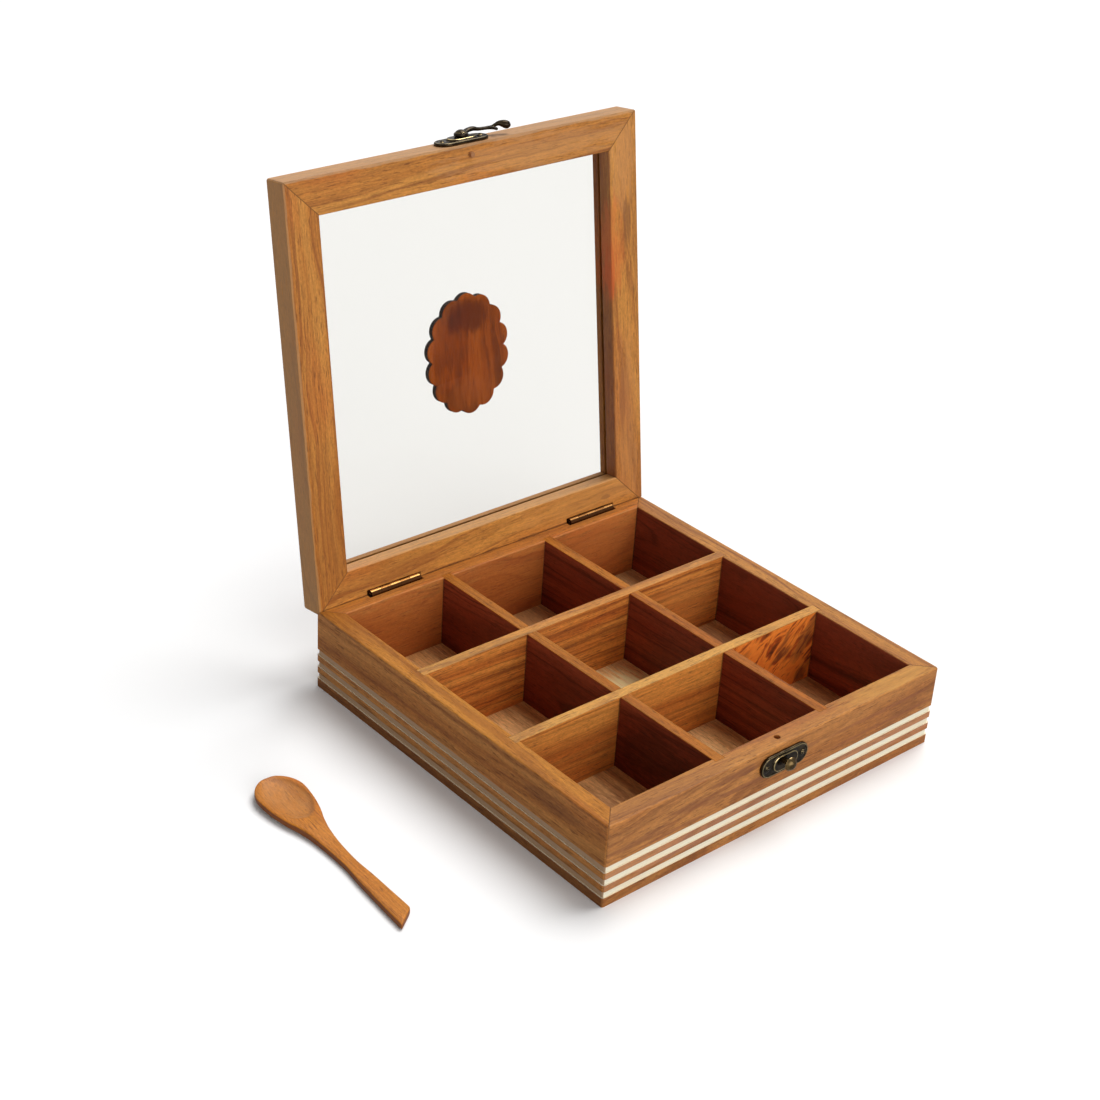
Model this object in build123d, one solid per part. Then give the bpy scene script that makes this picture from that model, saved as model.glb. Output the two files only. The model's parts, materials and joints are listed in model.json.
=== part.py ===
from build123d import *
import os
from math import asin, cos, pi, radians, sin

os.makedirs("parts", exist_ok=True)

# All sizes are in millimetres. X runs along the front, Y to the back, Z up.
# The origin is the middle of the base, where the box stands.

# Box walls and the nine compartments
wall = 9.5
outer_cell = 55.9
middle_cell = 57.2
divider = 5.0
box_height = 40.0
corner_radius = 1.2
edge_radius = 0.8
inner_bevel = 0.4
slot_depth = 2.5
slot_clearance = 0.1

# Base panel, let into a rebate round the bottom
base_thickness = 4.0
base_rebate = 5.0
base_clearance = 0.1

# Pale inlay bands round the outside
band_count = 3
band_height = 3.1
band_pitch = 6.25
first_band_top = 20.1
band_groove = 2.2
band_recess = 0.6

# Lid frame, its glass and its open angle
lid_thickness = 12.5
frame_width = 17.0
lid_gap = 0.3
open_angle = 98.0
stop_gap = 0.18
glass_thickness = 2.0
glass_from_inside = 7.0
glass_groove = 4.5
glass_clearance = 0.25

# Medallion on the outside of the glass
medallion_width = 48.0
medallion_height = 58.0
medallion_plate = 2.0
medallion_petals = 0.8
medallion_boss = 0.6
edge_lobes = 14
petal_count = 8

# Butt hinges, with their barrels on the wood's side of the leaves
hinge_left_x = -57.0
hinge_right_x = 64.0
knuckle_count = 5
knuckle_length = 5.6
knuckle_gap = 0.12
barrel_radius = 2.0
barrel_clearance = 0.35
pin_radius = 0.9
pin_fit = 0.04
pin_end = 0.3
leaf_thickness = 1.0
leaf_width = 7.0
leaf_start = 3.2
leaf_clearance = 0.1
leaf_skin = 0.2
mortise_room = 1.4
relief_margin = 0.35
screw_spread = 8.5
screw_head_radius = 1.5
screw_shank_radius = 0.7
screw_length = 7.0
small_hole_clearance = 0.05

# Locating peg in the lid and its hole in the rim
peg_radius = 1.1
peg_length = 1.8
peg_depth = 4.0
peg_from_front = 4.7
peg_hole_clearance = 0.4
peg_hole_room = 1.2

# Swing hook catch: plates, pivot, hook and stud
plate_length = 28.0
plate_width = 10.5
plate_thickness = 1.5
plate_edge = 0.4
raised_length = 15.0
raised_width = 8.0
catch_raise = 0.8
keeper_raise = 0.5
keeper_drop = 8.5
nail_spread = 10.8
nail_head_radius = 1.2
nail_head_height = 0.6
nail_radius = 0.6
nail_length = 7.0
hook_gap = 0.15
hook_thickness = 1.65
eye_radius = 3.3
rivet_radius = 1.3
rivet_fit = 0.05
rivet_head_radius = 2.6
rivet_head_height = 1.2
fixing_depth = 6.0
neck_radius = 1.4
neck_clearance = 0.4
hook_wall = 2.4
stud_head_radius = 3.3
stud_head_height = 2.3
stud_head_gap = 0.4
claw_length = 3.3
tail_length = 8.5
tail_root = 0.8
tail_neck = 0.9
tail_collar = 1.2
tail_slant = -26.0
tail_rise = 12.0
ball_radius = 2.2
hook_rest_angle = -3.6

# Wooden spoon lying to the left of the box
spoon_x = -163.9
spoon_y = -8.3
spoon_turn = -3.0
spoon_length = 110.0
bowl_half_width = 11.2
bowl_from_tip = 13.5
neck_half_width = 2.9
handle_half_width = 4.4
end_slant = 7.0
handle_thickness = 3.5
bowl_thickness = 5.0
bowl_depth = 2.8
bowl_rim = 1.8

box_side = 2 * (wall + outer_cell + divider) + middle_cell
inner_side = box_side - 2 * wall
divider_offset = (middle_cell + divider) / 2
lid_inner = box_height + lid_gap
opening_side = box_side - 2 * frame_width
barrel_length = knuckle_count * knuckle_length
axis_inset = barrel_radius + leaf_skin
axis_y = box_side / 2 - axis_inset
axis_z = box_height + lid_gap / 2
hinge_axis = Axis((0, axis_y, axis_z), (1, 0, 0))
hinge_places = {"left": hinge_left_x, "right": hinge_right_x}
pivot_height = lid_inner + lid_thickness / 2
stud_height = box_height - keeper_drop
latch_reach = pivot_height - stud_height
hook_bottom = plate_thickness + catch_raise + hook_gap
hook_top = hook_bottom + hook_thickness
far = 2 * box_side

sides = ("front", "right", "back", "left")
nodes = {}


def block(side_x, side_y, bottom, top, x=0.0, y=0.0):
    return Pos(x, y, bottom) * extrude(Rectangle(side_x, side_y), top - bottom)


def rounded_block(side, radius, bottom, top):
    return Pos(0, 0, bottom) * extrude(RectangleRounded(side, side, radius), top - bottom)


def along_x(outline, length, x=0.0):
    # The outline is drawn with Y to the right and Z up.
    return Pos(x, 0, 0) * extrude(Plane.YZ * outline, length / 2, both=True)


def on_front(height):
    # Right along X, up along Z, and outwards from the front face.
    return Plane(origin=(0, -box_side / 2, height), x_dir=(1, 0, 0), z_dir=(0, -1, 0))


def mitred_side(side):
    # A wedge from the middle out past one side, between its two mitres.
    outline = Polygon((0, 0), (-far, -far), (far, -far), align=None)
    quarter_turns = sides.index(side)
    return Rot(0, 0, 90 * quarter_turns) * Pos(0, 0, -far) * extrude(outline, 2 * far)




def past_bevel(up):
    # Everything beyond the bevel that stops the lid at its open angle.
    half = radians(open_angle / 2)
    outward = Vector(0, sin(half), up * cos(half))
    start = Vector(0, axis_y, axis_z) - outward * (stop_gap / 2)
    bevel = Plane(origin=start, x_dir=(1, 0, 0), z_dir=outward)
    return bevel * Box(far, far, far, align=(Align.CENTER, Align.CENTER, Align.MIN))


def hinge_recess(x, up):
    # Room for the barrel, for both leaves as they fold, and for one leaf.
    reach = leaf_start + leaf_width + leaf_clearance
    barrel = along_x(
        Pos(axis_y, axis_z) * Circle(barrel_radius + barrel_clearance),
        barrel_length + 2 * mortise_room, x)
    relief_height = leaf_start - relief_margin
    relief = block(barrel_length + 2 * mortise_room, 2 * axis_inset, -relief_height, relief_height,
                   x, axis_y + axis_inset)
    low, high = (-reach, 0) if up < 0 else (0, reach)
    leaf = block(barrel_length + 2 * leaf_clearance, 2 * leaf_thickness, low, high, x, box_side / 2)
    return [barrel, Pos(0, 0, axis_z) * relief, Pos(0, 0, axis_z) * leaf]


def leaf_screw_places(x, up):
    height = axis_z + up * (leaf_start + leaf_width / 2)
    return [Plane(origin=(x + step * screw_spread, box_side / 2, height),
                  x_dir=(-1, 0, 0), z_dir=(0, 1, 0)) for step in (-1, 1)]


def screw_shank(clearance):
    return Pos(0, 0, -screw_length / 2) * Cylinder(screw_shank_radius + clearance, screw_length)


def screw(clearance):
    # A countersunk screw, with its head's face at height zero.
    head_height = screw_head_radius - screw_shank_radius
    head = Pos(0, 0, -head_height / 2) * Cone(
        screw_shank_radius + clearance, screw_head_radius + clearance, head_height)
    return head + screw_shank(clearance)


def nail_shank(radius):
    return Pos(0, 0, plate_thickness - nail_length / 2) * Cylinder(radius, nail_length)


def nail():
    head = Pos(0, 0, plate_thickness + nail_head_height / 2) * Cone(
        nail_head_radius, nail_head_radius / 2, nail_head_height)
    return nail_shank(nail_radius) + head


def domed_head(radius, height):
    # A flat circle at height zero under a round dome.
    ball = (radius ** 2 + height ** 2) / (2 * height)
    middle = (asin((ball - height) / ball) + pi / 2) / 2
    outline = make_face([
        Line((0, height), (0, 0)), Line((0, 0), (radius, 0)),
        ThreePointArc((radius, 0), (ball * cos(middle), height - ball + ball * sin(middle)), (0, height))])
    return revolve(Plane.XZ * outline, Axis.Z)


# Box shell, cut into four mitred walls
shell = rounded_block(box_side, corner_radius, 0, box_height)
shell = fillet(shell.faces().sort_by(Axis.Z)[-1].edges(), edge_radius)
shell -= block(inner_side, inner_side, 0, box_height)
shell -= Pos(0, 0, box_height) * extrude(
    Rectangle(inner_side + 2 * inner_bevel, inner_side + 2 * inner_bevel), -inner_bevel, taper=45)
shell -= block(inner_side + 2 * base_rebate, inner_side + 2 * base_rebate, 0, base_thickness)

band_bottoms = [first_band_top - band_height - i * band_pitch for i in range(band_count)]
for bottom in band_bottoms:
    groove = block(far, far, bottom, bottom + band_height)
    shell -= groove - block(box_side - 2 * band_groove, box_side - 2 * band_groove, 0, box_height)

slot_width = divider + 2 * slot_clearance
slotted_side = inner_side + 2 * slot_depth
for place in (-divider_offset, divider_offset):
    shell -= block(slot_width, slotted_side, base_thickness, box_height, x=place)
    shell -= block(slotted_side, slot_width, base_thickness, box_height, y=place)

shell -= past_bevel(1)
for x in hinge_places.values():
    for recess in hinge_recess(x, -1):
        shell -= recess
    for place in leaf_screw_places(x, -1):
        shell -= place * screw_shank(small_hole_clearance)

peg_y = -box_side / 2 + peg_from_front
peg_hole_depth = peg_length + peg_hole_room - lid_gap
shell -= Pos(0, peg_y, box_height - peg_hole_depth / 2) * Cylinder(
    peg_radius + peg_hole_clearance, peg_hole_depth)

front_face = on_front(stud_height)
neck_hole = Pos(0, 0, -fixing_depth / 2) * Cylinder(neck_radius + small_hole_clearance, fixing_depth)
shell -= front_face * neck_hole
for step in (-1, 1):
    shell -= front_face * Pos(step * nail_spread, 0, 0) * nail_shank(nail_radius + small_hole_clearance)

for side in sides:
    nodes[side + "_wall"] = shell & mitred_side(side)

# Base panel
base_side = inner_side + 2 * (base_rebate - base_clearance)
nodes["base_panel"] = block(base_side, base_side, 0, base_thickness)

# Inlay bands, four mitred strips to each
for i in range(band_count):
    bottom = band_bottoms[i]
    top = bottom + band_height
    strip_ring = rounded_block(box_side - 2 * band_recess, corner_radius - band_recess / 2, bottom, top)
    strip_ring -= block(box_side - 2 * band_groove, box_side - 2 * band_groove, bottom, top)
    strips = [(strip_ring & mitred_side(side)).solid() for side in sides]
    nodes["inlay_band_" + str(i + 1)] = Compound(strips)

# Dividers, halved over each other: the crosswise pair is notched from below
divider_length = slotted_side - 2 * slot_clearance
half_height = (base_thickness + box_height) / 2
lengthwise = block(divider, divider_length, base_thickness, box_height)
crosswise = block(divider_length, divider, base_thickness, box_height)
for place in (-divider_offset, divider_offset):
    lengthwise -= block(2 * divider, slot_width, half_height, box_height, y=place)
    crosswise -= block(slot_width, 2 * divider, base_thickness, half_height, x=place)
for name, place in (("left", -divider_offset), ("right", divider_offset)):
    nodes["divider_" + name] = Pos(place, 0, 0) * lengthwise
for name, place in (("front", -divider_offset), ("back", divider_offset)):
    nodes["divider_" + name] = Pos(0, place, 0) * crosswise


# Hinges
def knuckle(x, index):
    centre = x - barrel_length / 2 + (index + 0.5) * knuckle_length
    length = knuckle_length - knuckle_gap
    barrel = along_x(Pos(axis_y, axis_z) * Circle(barrel_radius), length, centre)
    return centre, length, barrel


def hinge_leaf(x, up, first):
    inner, outer = leaf_start, leaf_start + leaf_width
    low, high = (-outer, -inner) if up < 0 else (inner, outer)
    leaf_y = box_side / 2 - leaf_thickness / 2
    leaf = block(barrel_length, leaf_thickness, axis_z + low, axis_z + high, x, leaf_y)
    for index in range(first, knuckle_count, 2):
        centre, length, barrel = knuckle(x, index)
        web_low, web_high = (-inner, 0) if up < 0 else (0, inner)
        leaf += barrel
        leaf += block(length, leaf_thickness, axis_z + web_low, axis_z + web_high, centre, leaf_y)
    leaf -= along_x(Pos(axis_y, axis_z) * Circle(pin_radius + pin_fit), barrel_length + 1, x)
    for place in leaf_screw_places(x, up):
        leaf -= place * screw(small_hole_clearance)
    return leaf


def hinge_pin(x):
    return along_x(Pos(axis_y, axis_z) * Circle(pin_radius), barrel_length + 2 * pin_end, x)


lid = {}
box_screws = []
lid_screws = []
for name, x in hinge_places.items():
    nodes["hinge_" + name + "_box_leaf"] = hinge_leaf(x, -1, 0)
    nodes["hinge_" + name + "_pin"] = hinge_pin(x)
    lid["hinge_" + name + "_lid_leaf"] = hinge_leaf(x, 1, 1)
    box_screws += [(place * screw(0)).solid() for place in leaf_screw_places(x, -1)]
    lid_screws += [(place * screw(0)).solid() for place in leaf_screw_places(x, 1)]
nodes["hinge_box_screws"] = Compound(box_screws)
lid["hinge_lid_screws"] = Compound(lid_screws)

# Lid frame, cut into mitred rails and stiles
lid_top = lid_inner + lid_thickness
frame = rounded_block(box_side, corner_radius, lid_inner, lid_top)
frame = fillet(frame.faces().sort_by(Axis.Z)[-1].edges(), edge_radius)
frame -= block(opening_side, opening_side, lid_inner, lid_top)
bevelled_side = opening_side + 2 * inner_bevel
frame -= Pos(0, 0, lid_top) * extrude(Rectangle(bevelled_side, bevelled_side), -inner_bevel, taper=45)
frame -= Pos(0, 0, lid_inner) * extrude(Rectangle(bevelled_side, bevelled_side), inner_bevel, taper=45)
glass_bottom = lid_inner + glass_from_inside
glass_top = glass_bottom + glass_thickness
frame -= block(opening_side + 2 * glass_groove, opening_side + 2 * glass_groove,
               glass_bottom, glass_top)
frame -= past_bevel(-1)
for x in hinge_places.values():
    for recess in hinge_recess(x, 1):
        frame -= recess
    for place in leaf_screw_places(x, 1):
        frame -= place * screw_shank(small_hole_clearance)
frame -= Pos(0, peg_y, lid_inner + peg_depth / 2) * Cylinder(
    peg_radius + small_hole_clearance, peg_depth)
lid_face = on_front(pivot_height)
frame -= lid_face * Pos(0, 0, -fixing_depth / 2) * Cylinder(
    rivet_radius + small_hole_clearance, fixing_depth)
for step in (-1, 1):
    frame -= lid_face * Pos(step * nail_spread, 0, 0) * nail_shank(nail_radius + small_hole_clearance)
lid_members = {"front": "lid_front_rail", "right": "lid_right_stile",
               "back": "lid_back_rail", "left": "lid_left_stile"}
for side, name in lid_members.items():
    lid[name] = frame & mitred_side(side)

glass_side = opening_side + 2 * (glass_groove - glass_clearance)
lid["glass_pane"] = block(glass_side, glass_side, glass_bottom, glass_top)
lid["lid_peg"] = Pos(0, peg_y, lid_inner + (peg_depth - peg_length) / 2) * Cylinder(
    peg_radius, peg_depth + peg_length)


# Medallion: a lobed oval plate, a ring of petals and an oval boss
def medallion():
    half_x = medallion_width / 2
    half_y = medallion_height / 2
    lobe = 3.3 * (half_x + half_y) / 2 / edge_lobes
    outline = Ellipse(half_x - lobe, half_y - lobe)
    for i in range(edge_lobes):
        turn = radians(360 / edge_lobes * (i + 0.5))
        outline += Pos((half_x - lobe) * cos(turn), (half_y - lobe) * sin(turn)) * Circle(lobe)
    plate = extrude(outline, medallion_plate)
    petals = Ellipse(half_x * 0.3, half_y * 0.3)
    for i in range(petal_count):
        turn = 360 / petal_count * i
        x = half_x * 0.44 * cos(radians(turn))
        y = half_y * 0.44 * sin(radians(turn))
        petals += Pos(x, y) * Rot(0, 0, turn) * Ellipse(half_x * 0.31, half_x * 0.15)
    plate += Pos(0, 0, medallion_plate) * extrude(petals, medallion_petals)
    boss = Ellipse(half_x * 0.2, half_y * 0.2)
    return plate + Pos(0, 0, medallion_plate + medallion_petals) * extrude(boss, medallion_boss)


lid["medallion"] = Pos(0, 0, glass_top) * medallion()


# Catch and keeper
def fixing_plate(raise_height, hole_radius):
    # Lies on its face with the two nail holes along X.
    base = extrude(SlotOverall(plate_length, plate_width), plate_thickness)
    base = chamfer(base.faces().sort_by(Axis.Z)[-1].edges(), plate_edge)
    middle = extrude(SlotOverall(raised_length, raised_width), plate_thickness + raise_height)
    middle = chamfer(middle.faces().sort_by(Axis.Z)[-1].edges(), plate_edge)
    plate = base + middle
    plate -= Cylinder(hole_radius, far)
    for step in (-1, 1):
        plate -= Pos(step * nail_spread, 0, 0) * nail_shank(nail_radius + small_hole_clearance)
    return plate


def turned_tail():
    # A collar, a thin neck and a ball, turned about X from zero.
    ball_centre = tail_length - ball_radius
    lean = radians(130)
    ball_start = (ball_centre + ball_radius * cos(lean), ball_radius * sin(lean))
    profile = Polyline((tail_length, 0), (0, 0), (0, tail_neck), (1.0, tail_collar), (2.0, tail_collar),
                       (3.2, tail_neck), ball_start)
    ball = ThreePointArc(ball_start, (ball_centre + ball_radius * cos(lean / 2), ball_radius * sin(lean / 2)),
                         (tail_length, 0))
    return revolve(make_face([profile, ball]), Axis.X)


def hook():
    # Drawn with the pivot at zero, the arm along X and the stud at the reach.
    inside = neck_radius + neck_clearance
    outside = inside + hook_wall
    ring = Pos(latch_reach, 0) * (Circle(outside) - Circle(inside))
    ring &= Pos(latch_reach, outside / 2) * Rectangle(2 * outside, outside)
    root = latch_reach - outside
    arm = Polygon((0, -eye_radius * 0.55), (root + 1.2, 0.4), (root + 1.2, 3.4), (0, eye_radius * 0.8),
                  align=None)
    claw_inner = latch_reach + inside
    claw_outer = latch_reach + outside
    claw = Polygon((claw_inner, 0), (claw_inner + 0.15, -claw_length + 0.4),
                   (claw_inner + 0.7, -claw_length), (claw_inner + 1.4, -claw_length + 0.6),
                   (claw_outer, 0), align=None)
    flat = Circle(eye_radius) + arm + ring + claw
    body = Pos(0, 0, hook_bottom) * extrude(flat, hook_thickness)
    middle = hook_bottom + hook_thickness / 2
    tail_seat = Pos(claw_outer - tail_root, 1.6, middle) * Rot(0, 0, tail_slant) * Rot(0, -tail_rise, 0)
    body += tail_seat * turned_tail()
    return body - Cylinder(rivet_radius + rivet_fit, far)


def rivet():
    shaft = Pos(0, 0, (hook_top + hook_gap - fixing_depth) / 2) * Cylinder(
        rivet_radius, hook_top + hook_gap + fixing_depth)
    return shaft + Pos(0, 0, hook_top + hook_gap) * domed_head(rivet_head_radius, rivet_head_height)


def stud():
    neck_top = hook_top + stud_head_gap
    neck = Pos(0, 0, (neck_top - fixing_depth) / 2) * Cylinder(neck_radius, neck_top + fixing_depth)
    return neck + Pos(0, 0, neck_top) * domed_head(stud_head_radius, stud_head_height)


def nail_pair(face):
    return Compound([(face * Pos(step * nail_spread, 0, 0) * nail()).solid() for step in (-1, 1)])


nodes["keeper_plate"] = front_face * fixing_plate(keeper_raise, neck_radius + small_hole_clearance)
nodes["keeper_stud"] = front_face * stud()
nodes["keeper_nails"] = nail_pair(front_face)
lid["catch_plate"] = lid_face * fixing_plate(catch_raise, rivet_radius + small_hole_clearance)
lid["catch_rivet"] = lid_face * rivet()
lid["catch_nails"] = nail_pair(lid_face)
lid["hook_arm"] = lid_face * Rot(0, 0, hook_rest_angle) * hook()

for name, shape in lid.items():
    nodes[name] = shape.rotate(hinge_axis, -open_angle)


# Spoon
def spoon():
    tip = spoon_length / 2
    tail = -tip
    widest = tip - bowl_from_tip
    right = Spline((0, tip), (bowl_half_width * 0.7, tip - bowl_from_tip * 0.25),
                   (bowl_half_width, widest), (bowl_half_width * 0.84, widest - 13),
                   (bowl_half_width * 0.42, widest - 29), (neck_half_width, widest - 50),
                   (handle_half_width * 0.84, tail + 30), (handle_half_width, tail + end_slant),
                   tangents=((1, 0), (0, -1)))
    left = mirror(right, about=Plane.YZ)
    end = Line((handle_half_width, tail + end_slant), (-handle_half_width, tail))
    heel = Line((-handle_half_width, tail), (-handle_half_width, tail + end_slant))
    outline = make_face([right, end, heel, left])
    plank = extrude(outline, bowl_thickness)
    under = Line((tail, 0), (widest - bowl_from_tip, 0))
    front = TangentArc(under @ 1, (tip, bowl_thickness - bowl_rim), tangent=(1, 0))
    over = Polyline((tip, bowl_thickness - bowl_rim), (tip, bowl_thickness),
                    (widest - bowl_from_tip, bowl_thickness), (0, handle_thickness),
                    (tail, handle_thickness), (tail, 0))
    side = make_face([under, front, over])
    body = plank & along_x(side, 4 * bowl_half_width)
    return body - Pos(0, widest - 3, bowl_thickness) * bowl_hollow()


def bowl_hollow():
    # The hollow is a spindle with its axis along Y above the bowl's rim.
    half_width = bowl_half_width - bowl_rim
    half_length = bowl_from_tip + 2
    rise = (half_width ** 2 - bowl_depth ** 2) / (2 * bowl_depth)
    outline = make_face([
        Line((-half_length, 0), (half_length, 0)), Line((half_length, 0), (half_length, rise)),
        ThreePointArc((half_length, rise), (0, rise + bowl_depth), (-half_length, rise)),
        Line((-half_length, rise), (-half_length, 0))])
    return Pos(0, 0, rise) * Rot(0, 0, 90) * revolve(outline, Axis.X)


nodes["spoon"] = Pos(spoon_x, spoon_y, 0) * Rot(0, 0, spoon_turn) * spoon()

for name, shape in nodes.items():
    export_step(shape, "parts/" + name + ".step")
print(len(nodes), "nodes, box side", round(box_side, 2), "reach", round(latch_reach, 2))
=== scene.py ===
import json
import math

import bmesh
import bpy
from mathutils import Matrix, Vector


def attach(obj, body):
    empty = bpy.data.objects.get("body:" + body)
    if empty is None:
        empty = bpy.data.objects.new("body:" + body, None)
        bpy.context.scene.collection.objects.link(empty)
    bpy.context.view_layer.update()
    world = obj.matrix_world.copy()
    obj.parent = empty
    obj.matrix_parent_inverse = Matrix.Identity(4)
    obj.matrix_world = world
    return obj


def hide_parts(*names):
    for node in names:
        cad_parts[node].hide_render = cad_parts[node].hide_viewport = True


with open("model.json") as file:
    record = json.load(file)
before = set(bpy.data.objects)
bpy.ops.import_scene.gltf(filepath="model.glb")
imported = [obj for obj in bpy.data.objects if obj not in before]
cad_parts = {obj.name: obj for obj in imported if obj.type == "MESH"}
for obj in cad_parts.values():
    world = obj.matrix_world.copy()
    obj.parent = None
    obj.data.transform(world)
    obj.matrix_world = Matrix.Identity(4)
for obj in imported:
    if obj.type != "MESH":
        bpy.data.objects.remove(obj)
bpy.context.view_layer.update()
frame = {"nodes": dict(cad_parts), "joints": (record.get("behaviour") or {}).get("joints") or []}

mm = 0.001
nodes = frame["nodes"]
joints = {joint["name"]: joint for joint in frame["joints"]}

# The lid stands open at rest. Its wood is laid out as if it were shut.
hingePlace = Vector(joints["lid_hinge"]["pos_m"])
openAngle = math.radians(joints["lid_hinge"]["range_deg"][1])
lidOpening = (Matrix.Translation(hingePlace) @ Matrix.Rotation(-openAngle, 4, "X")
              @ Matrix.Translation(-hingePlace))
print("frame loaded,", len(nodes), "nodes")


def linked(name, data):
    made = bpy.data.objects.new(name, data)
    bpy.context.scene.collection.objects.link(made)
    return made


def linkedMesh(name, mesh):
    data = bpy.data.meshes.new(name)
    mesh.to_mesh(data)
    mesh.free()
    return linked(name, data)


def patternSeat(shut):
    return lidOpening.inverted() if shut else Matrix.Identity(4)


# Camera, fitted to the straight edges of the box in the photograph.
cameraSettings = dict(place=(-0.5492, -0.54975, 0.52029), azimuth=-42.275, elevation=29.388,
                      roll=3.773, focal=2033.08, pictureWidth=1100, sensor=36.0)


def makeCamera(look):
    azimuth, elevation, roll = (math.radians(look[name]) for name in ("azimuth", "elevation", "roll"))
    back = Vector((math.sin(azimuth) * math.cos(elevation), -math.cos(azimuth) * math.cos(elevation),
                   math.sin(elevation)))
    right = Vector((0, 0, 1)).cross(back).normalized()
    up = back.cross(right)
    seat = Matrix((right, up, back)).transposed() @ Matrix.Rotation(roll, 3, "Z")
    data = bpy.data.cameras.new("camera")
    data.sensor_width = look["sensor"]
    data.lens = look["focal"] * look["sensor"] / look["pictureWidth"]
    camera = linked("camera", data)
    camera.matrix_world = Matrix.Translation(look["place"]) @ seat.to_4x4()
    bpy.context.scene.camera = camera


makeCamera(cameraSettings)


# Shader nodes
socketNames = dict(metallic="Metallic", coat="Coat Weight", coatRoughness="Coat Roughness", ior="IOR",
                   transmission="Transmission Weight", gloss="Specular IOR Level")


class Wire:
    # A socket that ordinary sums can be written with.
    def __init__(self, finish, socket):
        self.finish = finish
        self.socket = socket

    def sum(self, operation, *values):
        return self.finish.node("Math", dict(operation=operation), dict(enumerate(values)))

    def __add__(self, other): return self.sum("ADD", self, other)
    def __radd__(self, other): return self.sum("ADD", other, self)
    def __sub__(self, other): return self.sum("SUBTRACT", self, other)
    def __rsub__(self, other): return self.sum("SUBTRACT", other, self)
    def __mul__(self, other): return self.sum("MULTIPLY", self, other)
    def __rmul__(self, other): return self.sum("MULTIPLY", other, self)
    def __truediv__(self, other): return self.sum("DIVIDE", self, other)
    def __pow__(self, other): return self.sum("POWER", self, other)
    def __abs__(self): return self.sum("ABSOLUTE", self)
    def fract(self): return self.sum("FRACT", self)
    def least(self, other): return self.sum("MINIMUM", self, other)
    def most(self, other): return self.sum("MAXIMUM", self, other)


class Finish:
    def __init__(self, name):
        self.material = bpy.data.materials.new(name)
        self.material.use_nodes = True
        self.tree = self.material.node_tree
        self.tree.nodes.clear()
        self.surface = self.tree.nodes.new("ShaderNodeBsdfPrincipled")
        self.output = self.tree.nodes.new("ShaderNodeOutputMaterial")
        self.tree.links.new(self.surface.outputs["BSDF"], self.output.inputs["Surface"])

    def node(self, kind, settings=None, sockets=None, out=0):
        made = self.tree.nodes.new("ShaderNode" + kind)
        for name, value in (settings or {}).items():
            if name == "stops":
                self.setStops(made.color_ramp, value)
            else:
                setattr(made, name, value)
        for name, value in (sockets or {}).items():
            self.feed(made.inputs[name], value)
        return Wire(self, made.outputs[out])

    def setStops(self, ramp, stops):
        while len(ramp.elements) < len(stops):
            ramp.elements.new(0.5)
        for element, (place, shade) in zip(ramp.elements, stops):
            element.position = place
            element.color = (*shade, 1)

    def feed(self, socket, value):
        if isinstance(value, Wire):
            self.tree.links.new(value.socket, socket)
        elif hasattr(value, "__len__") and len(value) == 3 and socket.type == "RGBA":
            socket.default_value = (*value, 1)
        else:
            socket.default_value = value

    def set(self, colour, roughness, normal=None, **others):
        self.feed(self.surface.inputs["Base Color"], colour)
        self.feed(self.surface.inputs["Roughness"], roughness)
        if normal:
            self.feed(self.surface.inputs["Normal"], normal)
        for name, value in others.items():
            self.feed(self.surface.inputs[socketNames[name]], value)

    def facing(self):
        return self.parts(self.node("TexCoord", out="Normal"))

    def mapped(self, seat):
        # seat is a matrix that takes metres on the object to metres on the pattern.
        place, turn, _ = seat.decompose()
        return self.node("Mapping", dict(vector_type="POINT"),
                         {"Vector": self.node("TexCoord", out="Object"), "Location": place / mm,
                          "Rotation": turn.to_euler(), "Scale": (1 / mm,) * 3})

    def parts(self, vector):
        split = self.node("SeparateXYZ", None, {"Vector": vector})
        return [Wire(self, socket) for socket in split.socket.node.outputs]

    def joined(self, x, y, z):
        return self.node("CombineXYZ", None, {"X": x, "Y": y, "Z": z})

    def noise(self, vector, cell, detail=2.0, roughness=0.5, distortion=0.0):
        # cell is the size of one patch along each direction, in millimetres.
        scaled = self.node("VectorMath", dict(operation="DIVIDE"), {0: vector, 1: cell})
        return self.node("TexNoise", None, {"Vector": scaled, "Scale": 1.0, "Detail": detail,
                                                      "Roughness": roughness, "Distortion": distortion})

    def step(self, value, low, high):
        return self.node("MapRange", dict(interpolation_type="SMOOTHSTEP"),
                         {"Value": value, "From Min": low, "From Max": high})

    def ramp(self, value, stops):
        return self.node("ValToRGB", dict(stops=stops), {"Fac": value})

    def blend(self, share, first, second, blend="MIX"):
        settings = dict(data_type="RGBA", blend_type=blend)
        made = self.node("Mix", settings, None, 2)
        for index, value in ((0, share), (6, first), (7, second)):
            self.feed(made.socket.node.inputs[index], value)
        return made

    def bump(self, height, distance, normal=None):
        sockets = {"Height": height, "Distance": distance}
        if normal:
            sockets["Normal"] = normal
        return self.node("Bump", None, sockets)

    def softEdges(self, radius):
        return self.node("Bevel", dict(samples=4), {"Radius": radius})

    def edgeWear(self, radius, low, high):
        # How far the rounded normal leans from the true one, which is only at the arrises.
        soft = self.softEdges(radius)
        true = self.node("NewGeometry", out="True Normal")
        lean = self.node("VectorMath", dict(operation="DOT_PRODUCT"),
                         {0: soft, 1: true}, "Value")
        return self.step(1 - lean, low, high)


def colour(red, green, blue):
    # From the 0 to 255 of a paint chart to the light that a shader works in.
    def light(value):
        value /= 255
        return value / 12.92 if value <= 0.04045 else ((value + 0.055) / 1.055) ** 2.4
    return tuple(light(value) for value in (red, green, blue))


# Woods, each a row of tones in this order
toneNames = ("pale", "body", "streak", "ring", "blush", "pore")


def woodTones(*tones):
    return dict(zip(toneNames, (colour(*tone) for tone in tones)))


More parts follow.
